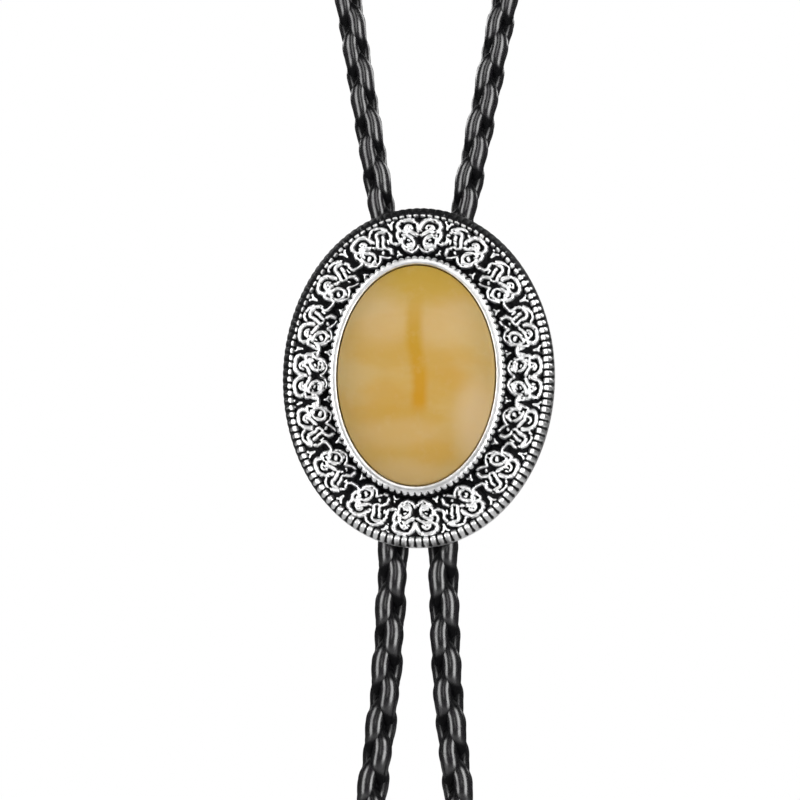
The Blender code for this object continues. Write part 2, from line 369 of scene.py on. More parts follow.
def honey_stone():
    """Polished cloudy stone: honey body, paler cloudy edge, a darker olive top that is painted shade, pale
    patches that are partly painted reflection and painted light, and one amber streak.

    In it x and z run from -1 to 1 across the stone.
    """
    material, tree, shader = new_material("honey_stone")
    place = position(tree)
    split = node(tree, "ShaderNodeSeparateXYZ")
    tree.links.new(place, split.inputs[0])
    x = math_node(tree, "DIVIDE", split.outputs["X"], STONE_HALF_WIDTH * MM)
    z = math_node(tree, "DIVIDE", math_node(tree, "SUBTRACT", split.outputs["Z"], CENTRE_Z * MM),
                  STONE_HALF_HEIGHT * MM)
    clouds = noise(tree, place, scale=110, detail=4, stretch=(0.6, 1, 1.5))
    fine = noise(tree, place, scale=520, detail=4, rough=0.6)
    wander = math_node(tree, "MULTIPLY", math_node(tree, "SUBTRACT", clouds, 0.5), 0.9)

    def patch(middle_x, middle_z, half_x, half_z, strength):
        """A soft patch of colour in the stone, for its clouds and for its painted reflection, light and
        shade, with its edge pushed about by the noise.
        """
        across = math_node(tree, "DIVIDE", math_node(tree, "SUBTRACT", x, middle_x), half_x)
        up = math_node(tree, "DIVIDE", math_node(tree, "SUBTRACT", z, middle_z), half_z)
        away = math_node(tree, "SQRT", math_node(tree, "ADD", math_node(tree, "MULTIPLY", across, across),
                                                 math_node(tree, "MULTIPLY", up, up)))
        return ramp(tree, math_node(tree, "ADD", away, wander), 0.35, 1.25, strength, 0.0)

    body = mix_colour(tree, ramp(tree, clouds, 0.38, 0.64), (0.385, 0.238, 0.055), (0.405, 0.27, 0.088))
    colour = mix_colour(tree, patch(0, 0, 1.22, 1.22, 1.0), (0.375, 0.275, 0.125), body)
    for spots, tint in ((PALE_CLOUDS_AND_PAINTED_LIGHT, (0.45, 0.32, 0.165)), (WARM_CLOUDS, (0.385, 0.215, 0.03)),
                             (OLIVE_SHADED_TOP, (0.355, 0.225, 0.03))):
        for spot in spots:
            colour = mix_colour(tree, patch(*spot), colour, tint)
    streak_middle = ramp(tree, z, 0.42, -0.06, -0.01, 0.075)
    off_streak = math_node(tree, "SUBTRACT", x, streak_middle)
    off_streak = math_node(tree, "SUBTRACT", off_streak, math_node(tree, "MULTIPLY", wander, 0.12))
    across_streak = ramp(tree, math_node(tree, "ABSOLUTE", off_streak), 0.03, 0.15, 1.0, 0.0)
    up_streak = math_node(tree, "MULTIPLY", ramp(tree, z, -0.4, -0.25), ramp(tree, z, 0.3, 0.9, 1.0, 0.0))
    streak = math_node(tree, "MULTIPLY", across_streak, up_streak)
    amber = mix_colour(tree, ramp(tree, z, -0.25, 0.4), (0.385, 0.188, 0.007), (0.355, 0.2, 0.014))
    colour = mix_colour(tree, math_node(tree, "MULTIPLY", streak, 0.88), colour, amber)
    colour = mix_colour(tree, ramp(tree, fine, 0.5, 0.8, 0, 0.22), colour, (0.43, 0.31, 0.15))
    tree.links.new(colour, shader.inputs["Base Color"])
    tree.links.new(ramp(tree, fine, 0.3, 0.7, 0.42, 0.52), shader.inputs["Roughness"])
    shader.inputs["Specular IOR Level"].default_value = 0.09
    shader.inputs["Subsurface Weight"].default_value = 0.25
    shader.inputs["Subsurface Radius"].default_value = (0.002, 0.0012, 0.0005)
    shader.inputs["Subsurface Scale"].default_value = 1.0
    shader.inputs["IOR"].default_value = 1.52
    tree.links.new(bump(tree, clouds, strength=0.08, distance=0.0002), shader.inputs["Normal"])
    return material


def leather_grain_group():
    """Smooth lacing leather: pores and fine creases for the bump, and a mask of where it is worn."""
    group, given, out = make_group(
        "leather_grain", [("Pores", "NodeSocketFloat", 1.0)],
        [("Height", "NodeSocketFloat"), ("Wear", "NodeSocketFloat")])
    place = position(group)
    cells = node(group, "ShaderNodeTexVoronoi", Scale=3800.0, feature="DISTANCE_TO_EDGE")
    group.links.new(place, cells.inputs["Vector"])
    pores = ramp(group, cells.outputs["Distance"], 0.0, 0.25)
    pores = math_node(group, "MULTIPLY", pores, given.outputs["Pores"])
    creases = noise(group, place, scale=1500, detail=4, rough=0.6)
    height = math_node(group, "ADD", pores, math_node(group, "MULTIPLY", creases, 1.2))
    group.links.new(height, out.inputs["Height"])
    group.links.new(noise(group, place, scale=700, detail=4, rough=0.6), out.inputs["Wear"])
    return group


def braided_leather(grain_group):
    """Black glazed leather: near-black dye, a slight violet cast and a glossy coat along each lace's crown;
    dye and coat fall off into painted shade in the creases and where a lace passes under another.
    """
    material, tree, shader = new_material("braided_leather")
    grain = use_group(tree, grain_group, Pores=0.6)
    wear = ramp(tree, grain.outputs["Wear"], 0.4, 0.7)
    # Painted shade: the crown mask darkens the creases and the laces that pass under; wear lightens the
    # crowns.
    crown = ramp(tree, attribute(tree, "crown"), 0.2, 0.9)
    colour = mix_colour(tree, math_node(tree, "MULTIPLY", wear, crown), (0.0012, 0.0012, 0.0016),
                        (0.007, 0.0055, 0.008))
    tree.links.new(colour, shader.inputs["Base Color"])
    tree.links.new(ramp(tree, wear, 0.0, 1.0, 0.45, 0.55), shader.inputs["Roughness"])
    shader.inputs["Specular IOR Level"].default_value = 0.06
    shader.inputs["Coat IOR"].default_value = 1.72
    shader.inputs["Coat Roughness"].default_value = 0.24
    glaze_and_shade = ramp(tree, crown, 0.1, 0.85, 0.02, 1.0)
    glaze_and_shade = math_node(tree, "MULTIPLY", ramp(tree, wear, 0.0, 1.0, 1.0, 0.7), glaze_and_shade)
    tree.links.new(glaze_and_shade, shader.inputs["Coat Weight"])
    normal = bump(tree, grain.outputs["Height"], strength=0.7, distance=0.00005)
    tree.links.new(normal, shader.inputs["Normal"])
    return material


# ---------------------------------------------------------------- cords
NECK_AXIS = 70.0                             # how far behind the slide the neck's upright axis stands


def cord_frames(path):
    """Outwards and sideways directions at each point; outwards faces away from the neck."""
    along = np.gradient(path, axis=0)
    along /= np.linalg.norm(along, axis=1)[:, None]
    outwards = path - slide_point(0, NECK_AXIS, 0) / MM
    outwards[:, 2] = 0
    outwards -= (outwards * along).sum(1)[:, None] * along
    outwards /= np.linalg.norm(outwards, axis=1)[:, None]
    return outwards, np.cross(along, outwards)


# The braid's radii and thicknesses are shares of the cord's diameter.
OUTER_POINTS, INNER_POINTS = 11, 3           # round one lace's section
LACE_REACH = math.radians(88)                # how far a lace wraps to each side of its own middle
LACE_CROWN, LACE_SWING = 0.475, 0.075        # mean radius of a lace's crown, and its rise and fall
LACE_BULGE, LACE_ROUND = 0.27, 2.2           # how far a lace's edges fall below its crown, and how roundly
LACE_THICK, LACE_THINNING = 0.14, 0.6        # a lace's thickness, and the share of it lost at the edges
LACE_LIE = 0.4                               # how much straighter a lace lies where it is on top
CORE, CORE_POINTS = 0.24, 8                  # the plain core inside the laces
PINCH_START, PINCH_SPAN = 4.5, 1.5           # how far before its end a cord narrows, and over what length


def lace_section():
    """Across one lace, over the top and back below: the spread, which points are below, and the crown."""
    top, below = np.linspace(-1, 1, OUTER_POINTS), np.linspace(0.9, -0.9, INNER_POINTS)
    spread = np.concatenate([top, below])
    inner = np.concatenate([np.zeros(OUTER_POINTS), np.ones(INNER_POINTS)])
    crown = np.concatenate([1 - top ** 2, np.zeros(INNER_POINTS)])
    return spread, inner, crown


def braid(name, route, diameter, spacing, material, first_turn, last_turn=None, twist=(0, 0), pinch=0.0):
    """Four leather laces plaited round: two wind each way, each passing over one and under the next."""
    path = smooth_line([tuple(slide_point(*p) / MM) for p in route], spacing)
    outwards, sideways = cord_frames(path)
    run = run_along(path)
    length = run[-1]
    if last_turn is None:
        last_turn = first_turn + math.pi * length / (LEAF * diameter)
    turn = first_turn + (last_turn - first_turn) * run / length
    halfway = smooth_step((run / length - 0.25) * 2)
    facing = twist[0] + (twist[1] - twist[0]) * halfway
    size = diameter * (1 - pinch * smooth_step((run - length + PINCH_START) / PINCH_SPAN))
    spread, inner, crown = lace_section()
    reach = LACE_REACH * spread
    lace_height = LACE_CROWN - LACE_BULGE * np.abs(spread) ** LACE_ROUND
    lace_height = lace_height - inner * LACE_THICK * (1 - LACE_THINNING * spread ** 2)
    points, faces, crowns = [], [], []

    def add_strand(radius, angle, unshaded_crown):
        """One strand's skin and two end caps, from radii and angles round the path."""
        ring = (path[:, None] + (radius * np.cos(angle))[..., None] * outwards[:, None]
                + (radius * np.sin(angle))[..., None] * sideways[:, None])
        rows, columns = angle.shape
        first = sum(map(len, points))
        last = first + (rows - 1) * columns
        points.append(ring.reshape(-1, 3))
        faces.extend(grid_faces(rows, columns, start=first))
        faces.append(tuple(range(first + columns - 1, first - 1, -1)))
        faces.append(tuple(range(last, last + columns)))
        crowns.append(unshaded_crown.ravel())

    for way in (1, -1):
        rise = way * LACE_SWING * np.cos(2 * turn[:, None] + way * reach)
        on_top = way * np.cos(2 * turn)[:, None]
        middle = way * turn - LACE_LIE * np.sin(2 * turn) + facing
        for half_turn in (0, math.pi):
            # Painted shade: the crown mask is cut down where a lace passes under another.
            unshaded_crown = crown * np.clip(0.74 + 0.6 * on_top, 0.1, 1)
            add_strand((lace_height + rise) * size[:, None], (middle + half_turn)[:, None] + reach, unshaded_crown)
    around = np.tile(np.linspace(0, 2 * math.pi, CORE_POINTS, endpoint=False), (len(path), 1))
    add_strand(CORE * diameter, around, np.zeros_like(around))
    piece = face_outwards(mesh_piece(name, np.vstack(points) * MM, faces, material, 60))
    # The crown values carry the painted shade of the creases.
    paint(piece, "crown", np.concatenate(crowns))
    return piece, path * MM


def add_cords(leather):
    """The neck loop, whose two sides mirror each other, and the two tails with their paths."""
    loop_route = [(-x, y, z) for x, y, z in LOOP_ROUTE] + LOOP_ROUTE[-2::-1]
    leaves = round(LOOP_LENGTH / (LEAF * LOOP_DIAMETER))
    loop_end = math.pi / 2 + leaves * math.pi - LOOP_START
    loop, _ = braid("neck_braid", loop_route, LOOP_DIAMETER, LOOP_STEP, leather, LOOP_START, loop_end,
                    (-math.pi / 4 + LOOP_FACE, math.pi / 4 + LOOP_FACE))
    keep(loop, "braided_leather", "neck_cord")
    tails = {}
    for side, mirror in (("left", -1), ("right", 1)):
        route = [(mirror * x, y, z) for x, y, z in TAIL_ROUTE]
        start = TAIL_START if mirror > 0 else TAIL_START + math.pi / 2
        piece, path = braid(f"braid_{side}", route, TAIL_DIAMETER, TAIL_STEP, leather, start,
                            twist=(math.pi / 4, math.pi / 4), pinch=0.07)
        keep(piece, "braided_leather", f"tail_{side}")
        tails[side] = piece, path
    return tails


# ---------------------------------------------------------------- tips
TIP_BORE = TAIL_DIAMETER / 2 + 0.15
TIP_COLLAR, TIP_END = TAIL_DIAMETER / 2 + 1.0, 2.1
TIP_SOCKET, TIP_LENGTH = 3.0, 23.0           # up from the cord's end, and down from it
TIP_SIDES = 64


def tip_profile():
    """Radius and distance down from the cord's end: socket, collar, two turned grooves, taper, round end."""
    socket_floor, groove_half, groove_depth = -0.2, 0.35, 0.3
    points = [(0, socket_floor), (TIP_BORE, socket_floor), (TIP_BORE, -TIP_SOCKET),
              (TIP_BORE + 0.3, -TIP_SOCKET), (TIP_COLLAR - 0.1, 0.1 - TIP_SOCKET),
              (TIP_COLLAR, 0.4 - TIP_SOCKET)]
    for groove in (-1.9, -0.9):
        points += [(TIP_COLLAR, groove - groove_half), (TIP_COLLAR - groove_depth, groove),
                   (TIP_COLLAR, groove + groove_half)]
    points += [(TIP_COLLAR, 0.1), (TIP_COLLAR - 0.35, 0.6), (TIP_COLLAR - 0.55, 0.9),
               (TIP_COLLAR - 0.45, 1.4)]
    shoulder = np.array((TIP_COLLAR - 0.5, 1.6))
    taper_end = np.array((TIP_END, TIP_LENGTH - TIP_END))
    taper = [shoulder + (taper_end - shoulder) * t for t in np.linspace(0, 1, 12)]
    rounded = [(TIP_END * math.cos(a), TIP_LENGTH - TIP_END + TIP_END * math.sin(a))
               for a in np.linspace(0.12, math.pi / 2, 9)[:-1]]
    return np.array(points + taper + rounded + [(0, TIP_LENGTH)])


def add_tip(side, path, metal):
    """A turned metal tip in line with the end of its cord."""
    profile = tip_profile()
    end = path[-1] / MM
    axis = path[-1] - path[-4]
    axis /= np.linalg.norm(axis)
    first = np.cross(axis, (0, 1, 0))
    first /= np.linalg.norm(first)
    second = np.cross(axis, first)
    angle = np.linspace(0, 2 * math.pi, TIP_SIDES, endpoint=False)
    ring = np.cos(angle)[:, None] * first + np.sin(angle)[:, None] * second
    radius, down = profile[1:-1, 0, None, None], profile[1:-1, 1, None, None]
    skin = (end + down * axis + radius * ring).reshape(-1, 3)
    points = np.vstack([skin, end + profile[0][1] * axis, end + profile[-1][1] * axis])
    faces = grid_faces(len(radius), TIP_SIDES)
    socket_middle, nose, last = len(skin), len(skin) + 1, len(skin) - TIP_SIDES
    for j in range(TIP_SIDES):
        faces.append((socket_middle, (j + 1) % TIP_SIDES, j))
        faces.append((nose, last + j, last + (j + 1) % TIP_SIDES))
    piece = face_outwards(mesh_piece(f"turned_tip_{side}", points * MM, faces, metal, 40))
    return keep(piece, "tip_metal", f"tip_{side}")


# ---------------------------------------------------------------- slide: ovals and rings
def oval_ring(angles, inset, half_width, half_height):
    """Points at an inset from an oval's outline, square to it."""
    x, z = half_width * np.sin(angles), half_height * np.cos(angles)
    nx, nz = x / half_width ** 2, z / half_height ** 2
    length = np.hypot(nx, nz)
    return x - nx / length * inset, z - nz / length * inset


def even_angles(count, inset, half_width, half_height):
    """Oval angles evenly spaced along the line at an inset, from the top and clockwise, and its length."""
    fine = np.linspace(0, 2 * math.pi, 20001)
    run = run_along(np.stack(oval_ring(fine, inset, half_width, half_height), axis=1))
    return np.interp(np.arange(count) / count * run[-1], run, fine), run[-1]


def ring_piece(name, x, z, depth, material, angle, caps=False):
    """A closed ring of rows (first axis) and columns, or a plate if its first and last rows are capped."""
    rows, columns = depth.shape
    points = slide_point(x, -depth, z)
    faces = grid_faces(rows, columns, close_rows=not caps)
    if caps:
        last = (rows - 1) * columns
        faces += [tuple(range(columns)), tuple(range(last + columns - 1, last - 1, -1))]
    return face_outwards(mesh_piece(name, points, faces, material, angle))


RIM_SHADED_SIDE = -25.0                        # where the rim's outer slope is painted in shade, in degrees from the top
RIM_PROFILE = [                              # inset and depth, from the back round the wall to the band
    (2.6, 0.02), (0.5, 0.0), (0.15, 0.08), (0.0, 0.35), (0.0, 0.8), (0.02, 1.2), (0.1, 1.6), (0.22, 2.0),
    (0.36, 2.35), (0.5, 2.66), (0.64, 2.9), (0.78, 3.07), (0.92, 3.17), (1.06, RIM_CREST), (1.2, 3.16),
    (1.33, 3.05), (1.44, 2.86), (1.53, 2.6), (1.6, 2.3), (1.66, 2.05), (1.74, FLOOR), (2.6, FLOOR - 0.3),
]
GROOVE_DEPTH = 0.2


def add_reeded_body(silver):
    """Back plate, outer wall and the reeded rim: rounded bars with grooves between them."""
    points_per_reed = 10
    columns = REEDS * points_per_reed
    angles, _ = even_angles(columns, 1.0, HALF_WIDTH, HALF_HEIGHT)
    phase = (np.arange(columns) % points_per_reed) / points_per_reed
    bar = (np.abs(np.sin(math.pi * phase)) ** 0.55)[None]
    profile = np.array(RIM_PROFILE)
    inset, depth = profile[:, :1], profile[:, 1:]
    slope = np.gradient(profile, axis=0)
    slope /= np.linalg.norm(slope, axis=1)[:, None]
    # The grooves fade out on the wall and at the band.
    cut = smooth_step((depth - 0.5) / 1.2) * smooth_step((1.8 - inset) / 0.35)
    sink = GROOVE_DEPTH * cut * (1 - bar)
    x, z = oval_ring(angles[None], inset + sink * slope[:, 1:], HALF_WIDTH, HALF_HEIGHT)
    body = ring_piece("reeded_body", x, z, depth - sink * slope[:, :1], silver, 60, caps=True)
    # The crest and the bars are polished; towards the side opposite the shaded one the bars get a painted
    # highlight, and towards the shaded side the outer slope gets painted shade.
    lit_side = (0.5 - 0.5 * np.cos(angles - math.radians(RIM_SHADED_SIDE)))[None]
    crest = smooth_step((depth - 1.9) / 0.8)
    # The last term is a painted highlight on the bars towards the lit side.
    wall = 0.25 + 0.2 * smooth_step((1.9 - depth) / 0.8) + 0.35 * bar * smooth_step((lit_side - 0.6) / 0.3)
    low_polish = np.where(depth < 0.5, 0.62, wall)
    dark_edge = 0.85 + 0.4 * smooth_step((0.5 - lit_side) / 0.4)
    outer_slope = np.where(inset < dark_edge, smooth_step((depth - 0.9) / 0.7), 0.0)
    # Painted shade: black on the outer slope towards the shaded side.
    painted_shade = 0.7 * outer_slope * smooth_step((0.75 - lit_side) / 0.5)
    groove_black = 0.85 * cut * (1 - bar) ** 0.6
    raised = (crest * bar + (1 - crest) * low_polish) * (1 - groove_black) * (1 - painted_shade)
    return paint(body, "raised", raised)


# ---------------------------------------------------------------- roses
# Lines of the cast relief. Each is a list of points, in millimetres along the band from the rose's middle
# and inwards from the slide's outline, then the line's half width and its height.
FULL_ROSE = [
    ([(0.05, 3.5), (0.2, 2.85), (0.5, 2.3), (0.95, 1.95), (1.45, 1.85), (2.05, 1.95), (2.55, 2.15),
      (2.82, 2.6), (2.72, 3.2)], 0.27, 1.0),
    ([(0.95, 3.15), (1.1, 2.82), (1.45, 2.66), (1.8, 2.82), (1.97, 3.15)], 0.16, 0.7),
    ([(1.35, 3.08), (1.6, 3.1)], 0.13, 0.6),
    ([(0.3, 4.2), (0.85, 3.88), (1.4, 3.52), (2.0, 3.58), (2.6, 3.38), (3.02, 3.5), (3.12, 4.1),
      (2.95, 4.75)], 0.24, 0.9),
    ([(2.4, 4.02), (1.75, 4.15), (1.08, 4.6), (0.78, 5.25), (0.98, 5.8), (1.6, 6.02), (2.3, 5.8),
      (2.66, 5.2), (2.62, 4.5)], 0.23, 1.0),
    ([(2.2, 4.42), (2.3, 4.52)], 0.19, 0.6),
    ([(0.08, 5.85), (0.38, 6.35), (0.9, 6.66), (1.45, 6.76), (2.0, 6.5), (2.42, 6.15), (2.72, 5.6)],
     0.23, 0.95),
    ([(1.0, 6.12), (1.3, 6.3)], 0.13, 0.6),
]
ROSE_HEART = [([(1.58, 5.08), (1.86, 5.24)], 0.25, 0.75)]
PAIR_HEART = [
    ([(1.3, 5.46), (1.62, 5.56), (2.0, 5.46)], 0.22, 0.8),
    ([(1.5, 4.92), (1.75, 4.8)], 0.12, 0.65),
]
HALF_ROSE = [
    ([(-2.38, 2.65), (-1.95, 2.2), (-1.4, 1.92), (-0.85, 1.8), (-0.4, 1.98), (-0.12, 2.3)], 0.18, 0.8),
    ([(-2.05, 2.8), (-1.6, 2.62), (-1.15, 2.58), (-0.82, 2.85), (-0.74, 3.35), (-0.55, 3.9),
      (-0.25, 4.35)], 0.23, 1.0),
    ([(-1.62, 3.35), (-1.5, 3.85), (-1.24, 4.3), (-1.16, 4.8), (-1.45, 5.1), (-1.8, 5.45), (-1.98, 5.9),
      (-1.92, 6.3)], 0.22, 1.0),
    ([(-1.95, 5.6), (-1.92, 6.15)], 0.3, 0.9),
    ([(-1.16, 4.8), (-0.75, 4.88), (-0.25, 4.55)], 0.18, 0.85),
    ([(-0.72, 5.45), (-0.56, 5.55)], 0.2, 0.7),
    ([(-1.4, 6.72), (-0.95, 6.58), (-0.5, 6.3), (-0.18, 6.05), (0.1, 5.8)], 0.22, 0.95),
    ([(-2.05, 4.1), (-1.95, 4.6)], 0.14, 0.5),
]
LEAF_BY_BEZEL = [
    ([(-0.42, 6.85), (-0.1, 6.6), (0.0, 6.2)], 0.17, 0.5),
    ([(0.42, 6.9), (0.12, 6.6), (0.0, 6.2)], 0.17, 0.5),
    ([(0.0, 6.75), (0.0, 6.35)], 0.22, 0.5),
]
LEAF_BY_RIM = [
    ([(-0.4, 1.75), (-0.12, 2.1), (0.0, 2.75)], 0.15, 0.45),
    ([(0.4, 1.75), (0.12, 2.1), (0.0, 2.75)], 0.15, 0.45),
]
HALF_ROSE_REACH = 2.45                       # how far the half rose stands back from the middle
FULL_ROSE_REACH = 3.1                        # how far the full rose reaches ahead of it
ROSE_MIDDLES = [0.0, 6.7, 13.95, 21.1]       # along the band from the top
RELIEF_HEIGHT, PILLOW_HEIGHT = 0.78, 0.42
LINE_SWELL = 1.22                            # how much fuller the cast lines are than their half widths say


def vine(gap_end):
    """The stem from a full rose to the next half rose, which begins at gap_end."""
    return [([(2.75, 4.7), (3.12, 5.08), (3.6, 5.15), (gap_end - 0.6, 4.98), (gap_end - 0.12, 4.75),
              (gap_end - 0.02, 4.2), (gap_end - 0.2, 3.65), (gap_end, 3.15)], 0.22, 0.85)]


def meeting_vine(middle):
    """The stem between two full roses, with a bud on each side of its middle."""
    reach = middle - 2.75
    return [([(2.75, 4.7), (middle - 0.45 * reach, 5.2), (middle, 5.25), (middle + 0.45 * reach, 5.2),
              (middle + reach, 4.7)], 0.25, 0.9),
            ([(middle - 0.25, 4.95), (middle - 0.4, 4.4), (middle - 0.62, 3.7)], 0.16, 0.75),
            ([(middle + 0.25, 4.95), (middle + 0.4, 4.4), (middle + 0.62, 3.7)], 0.16, 0.75)]


def rose_lines(quarter):
    """Every line of the relief in one quarter of the border, which the other quarters mirror."""
    middles = ROSE_MIDDLES + [quarter]
    lines = []

    def place(shapes, at, way=1):
        lines.extend(([(at + way * u, d) for u, d in line], width, height) for line, width, height in shapes)

    for i, middle in enumerate(middles[:-1]):
        place(FULL_ROSE, middle)
        place(ROSE_HEART if i else PAIR_HEART, middle)
        if i:
            place(HALF_ROSE, middle)
        following = middles[i + 1]
        if following < quarter:
            gap_end = following - HALF_ROSE_REACH - middle
            place(vine(gap_end), middle)
            gap_middle = middle + (FULL_ROSE_REACH + gap_end) / 2
        else:
            gap_middle = (middle + following) / 2
            place(meeting_vine(gap_middle - middle), middle)
        place(LEAF_BY_BEZEL, gap_middle)
        place(LEAF_BY_RIM, gap_middle)
    place(FULL_ROSE + PAIR_HEART, quarter, -1)
    return lines


LINE_MARGIN = 1.2                            # how far round a line its pillow can reach
FAR = 9.0


def rose_heights(along, inwards, quarter):
    """Height and polish of the relief over one quarter: round lines standing on low pillows."""
    u, d = np.meshgrid(along, inwards)
    ridge = np.zeros_like(u)
    raised = np.zeros_like(u)
    nearest = np.full_like(u, FAR)
    for line, width, height in rose_lines(quarter):
        points = smooth_line(line, 0.05)
        low, high = points.min(0) - LINE_MARGIN, points.max(0) + LINE_MARGIN
        columns = np.where((along > low[0]) & (along < high[0]))[0]
        rows = np.where((inwards > low[1]) & (inwards < high[1]))[0]
        window = np.ix_(rows, columns)
        away = np.full(u[window].shape, FAR)
        for px, pd in points:
            away = np.minimum(away, np.hypot(u[window] - px, d[window] - pd))
        across = away / (width * LINE_SWELL)
        round_top = np.clip(1 - across ** 2, 0, 1) ** 0.5
        polish = np.clip(1.22 - across, 0, 1) ** 0.6
        ridge[window] = np.maximum(ridge[window], height * RELIEF_HEIGHT * round_top)
        raised[window] = np.maximum(raised[window], (0.4 + 0.6 * height) * polish)
        nearest[window] = np.minimum(nearest[window], away / (0.5 + 0.5 * height))
    pillow = PILLOW_HEIGHT * smooth_step((0.85 - nearest) / 0.5)
    return pillow + ridge, np.maximum(raised, 0.5 * pillow)


def add_rose_border(silver):
    """The sunk band and its relief, drawn over one quarter and mirrored into the others."""
    angles, length = even_angles(BAND_COLUMNS, BAND_LINE, HALF_WIDTH, HALF_HEIGHT)
    quarter = length / 4
    inwards = np.linspace(BAND_OUTER, BAND_INNER, BAND_ROWS)
    count = BAND_COLUMNS // 4
    height, raised = rose_heights(np.linspace(0, quarter, count + 1), inwards, quarter)
    # Column numbers that run up one quarter and down the next.
    fold = np.arange(BAND_COLUMNS) % (2 * count)
    fold = np.where(fold > count, 2 * count - fold, fold)
    height, raised = height[:, fold], raised[:, fold]
    x, z = oval_ring(angles[None], inwards[:, None], HALF_WIDTH, HALF_HEIGHT)
    uneven = waves(x * 1.3, z * 1.3, seed=4)
    pits = smooth_step((waves(x * 4.5, z * 4.5, seed=6) - 0.2) / 0.35) * smooth_step((height - 0.3) / 0.4)
    depth = FLOOR + height * (1 + 0.08 * uneven) + 0.03 * waves(x * 4, z * 4, seed=5) - 0.16 * pits
    under = oval_ring(angles[None], np.array([[BAND_INNER], [BAND_OUTER]]), HALF_WIDTH, HALF_HEIGHT)
    x, z = np.vstack([x, under[0]]), np.vstack([z, under[1]])
    depth = np.vstack([depth, np.full((2, BAND_COLUMNS), FLOOR - 0.6)])
    band = ring_piece("rose_border", x, z, depth, silver, None)
    worn = raised * (1 + 0.1 * uneven) * (1 - 0.6 * pits)
    return paint(band, "raised", np.vstack([worn, np.zeros((2, BAND_COLUMNS))]))


BEZEL_PROFILE = [                            # outset from the stone's outline and depth, over the lip
    (1.5, FLOOR - 0.6), (1.5, FLOOR), (1.46, 2.6), (1.42, 3.3), (1.38, 3.8), (1.33, 4.2), (1.24, 4.5),
    (1.14, 4.72), (0.98, 4.86), (0.78, 4.94), (0.56, BEZEL_TOP), (0.34, BEZEL_TOP), (0.14, 4.99),
    (0.03, 4.93), (0.0, 4.8), (0.0, 4.3), (0.15, FLOOR - 0.6),
]


def add_toothed_bezel(silver):
    """The wall that holds the stone, with a polished lip and small teeth round its outer edge."""
    points_per_tooth = 10
    columns = BEZEL_TEETH * points_per_tooth
    angles, _ = even_angles(columns, -1.0, STONE_HALF_WIDTH, STONE_HALF_HEIGHT)
    phase = (np.arange(columns) % points_per_tooth) / points_per_tooth
    gap = (1 - np.abs(np.sin(math.pi * phase)) ** 0.8)[None]
    profile = np.array(BEZEL_PROFILE)
    outset, depth = profile[:, :1], profile[:, 1:]
    # The teeth lie on the outer face only, and end above the band.
    toothed = smooth_step((outset - 0.85) / 0.3) * smooth_step((depth - 2.2) / 1.2)
    sink = 0.34 * toothed * gap
    x, z = oval_ring(angles[None], sink - outset, STONE_HALF_WIDTH, STONE_HALF_HEIGHT)
    bezel = ring_piece("toothed_bezel", x, z, depth - 0.5 * sink, silver, 60)
    lip = smooth_step((depth - 3.9) / 0.5)
    raised = lip * (1 - 0.95 * toothed * gap ** 1.5) + 0.15 * (1 - lip)
    return paint(bezel, "raised", raised)


def add_stone(material):
    """The cabochon: a straight girdle and a low dome, polished smooth."""
    rows, columns = 60, 192
    angles = np.linspace(0, 2 * math.pi, columns, endpoint=False)
    girdle = BEZEL_TOP - 0.5                 # depth at which the dome begins
    fit = 0.992                              # the stone's share of its seat
    climb = 1 - np.linspace(0, 1, rows)[:-1] ** 1.2
    reach = np.concatenate([[0.96, fit, fit], fit * climb])
    dome = (1 - climb ** 2.2) ** 0.72
    depth = np.concatenate([[2.2, 2.5, girdle - 0.05], girdle + (STONE_TOP - girdle) * dome])
    x = STONE_HALF_WIDTH * reach[:, None] * np.sin(angles)
    z = STONE_HALF_HEIGHT * reach[:, None] * np.cos(angles)
    stone = ring_piece("honey_cabochon", x, z, np.repeat(depth[:, None], columns, 1), material, 40, caps=True)
    return keep(stone, "honey_stone", "stone_cabochon")


# ---------------------------------------------------------------- clip
FLANGE_END = 10.0                            # half the clip's width across the cords


def add_clip(metal):
    """The bent strip on the back: an arch over each cord, flat flanges, softened edges."""
    gap, wall = 0.3, 1.2
    bore = TAIL_DIAMETER / 2 + gap
    outer = bore + wall

    def arc(radius, start, end, steps=16):
        """Points of the arch round the right cord, between two angles in degrees."""
        turns = np.radians(np.linspace(start, end, steps + 1))
        return [(CORD_SPREAD + radius * math.cos(t), CORD_STANDOFF + radius * math.sin(t)) for t in turns]

    valley = math.degrees(math.acos(-CORD_SPREAD / outer))
    flange = [(CORD_SPREAD + bore, gap), (FLANGE_END, gap), (FLANGE_END, gap + wall),
              (CORD_SPREAD + outer, gap + wall)]
    half = [(CORD_SPREAD - bore, gap)] + arc(bore, 180, 0) + flange + arc(outer, 0, valley)
    outline = half + [(-x, y) for x, y in reversed(half[:-1])]
    bm = bmesh.new()
    face = bm.faces.new([bm.verts.new(slide_point(x, y, -CLIP_HALF)) for x, y in outline])
    grown = bmesh.ops.extrude_face_region(bm, geom=[face])
    moved = [v for v in grown["geom"] if isinstance(v, bmesh.types.BMVert)]
    bmesh.ops.translate(bm, verts=moved, vec=(0, 0, 2 * CLIP_HALF * MM))
    bmesh.ops.recalc_face_normals(bm, faces=bm.faces)
    sharp = [e for e in bm.edges if e.calc_face_angle(0) > math.radians(40)]
    bmesh.ops.bevel(bm, geom=sharp, offset=0.22 * MM, segments=3, affect="EDGES", clamp_overlap=True)
    mesh = bpy.data.meshes.new("cord_clip")
    bm.to_mesh(mesh)
    bm.free()
    return keep(shaded_piece("cord_clip", mesh, metal, 35), "clip_metal", "back_clip")


# ---------------------------------------------------------------- stage, lights and camera
FLOOR_GAP, FLOOR_HALF = 0.12, 3.0            # metres up to the tips, and from its middle to its sides
WHITE = 1.0                                  # how bright floor and surroundings look to the camera


